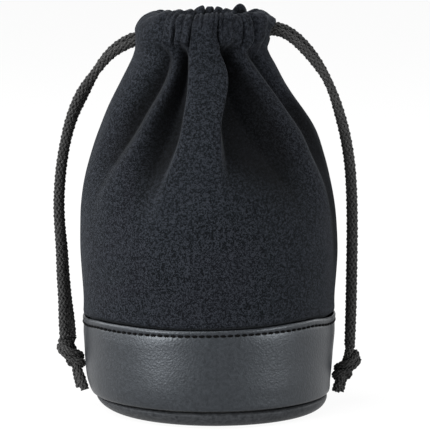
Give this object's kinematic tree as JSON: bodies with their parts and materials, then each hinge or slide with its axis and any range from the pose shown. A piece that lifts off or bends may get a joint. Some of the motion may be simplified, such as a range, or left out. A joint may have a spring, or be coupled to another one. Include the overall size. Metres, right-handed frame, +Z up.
{
  "type": "drawstring lens pouch",
  "caption": "Round soft lens pouch with a padded flat base, a leather-look band round its foot and a gathered suede neck drawn shut by knotted cords.",
  "frame": {"origin": "centre of the base's flat underside, on the surface that the pouch stands on", "axes": "+Z up through the mouth; the front faces -Y; the cords leave the neck at -X and +X"},
  "size_m": [0.1095, 0.0916, 0.1425],
  "materials": {
    "suede": "matt napped synthetic suede",
    "band_leather": "satin, pebble grain",
    "base_leather": "semi-gloss, pebble grain",
    "lining": "fine woven lining",
    "foam": "open-cell padding",
    "board": "stiff fibre board",
    "cord": "diamond-braided cord"
  },
  "bodies": {
    "pouch": {"base_panel": "base_leather", "base_board": "board", "base_pad": "foam", "leather_band": "band_leather", "band_foam": "foam", "suede_front_panel": "suede", "suede_back_panel": "suede", "lining_base": "lining", "lining_sleeve": "lining", "left_cord_loop": "cord", "right_cord_loop": "cord"},
    "left_cord": {"left_cord_front_strand": "cord", "left_cord_back_strand": "cord", "left_knot": "cord", "left_cord_front_end": "cord", "left_cord_back_end": "cord"},
    "right_cord": {"right_cord_front_strand": "cord", "right_cord_back_strand": "cord", "right_knot": "cord", "right_cord_front_end": "cord", "right_cord_back_end": "cord"}
  },
  "joints": [
    {"name": "left_cord_swing", "type": "hinge", "parent": "pouch", "child": "left_cord", "pos_m": [-0.02655, 0, 0.1322], "axis": [0, 1, 0], "range_deg": [0, 80]},
    {"name": "right_cord_swing", "type": "hinge", "parent": "pouch", "child": "right_cord", "pos_m": [0.02055, 0, 0.1361], "axis": [0, -1, 0], "range_deg": [0, 80]}
  ]
}
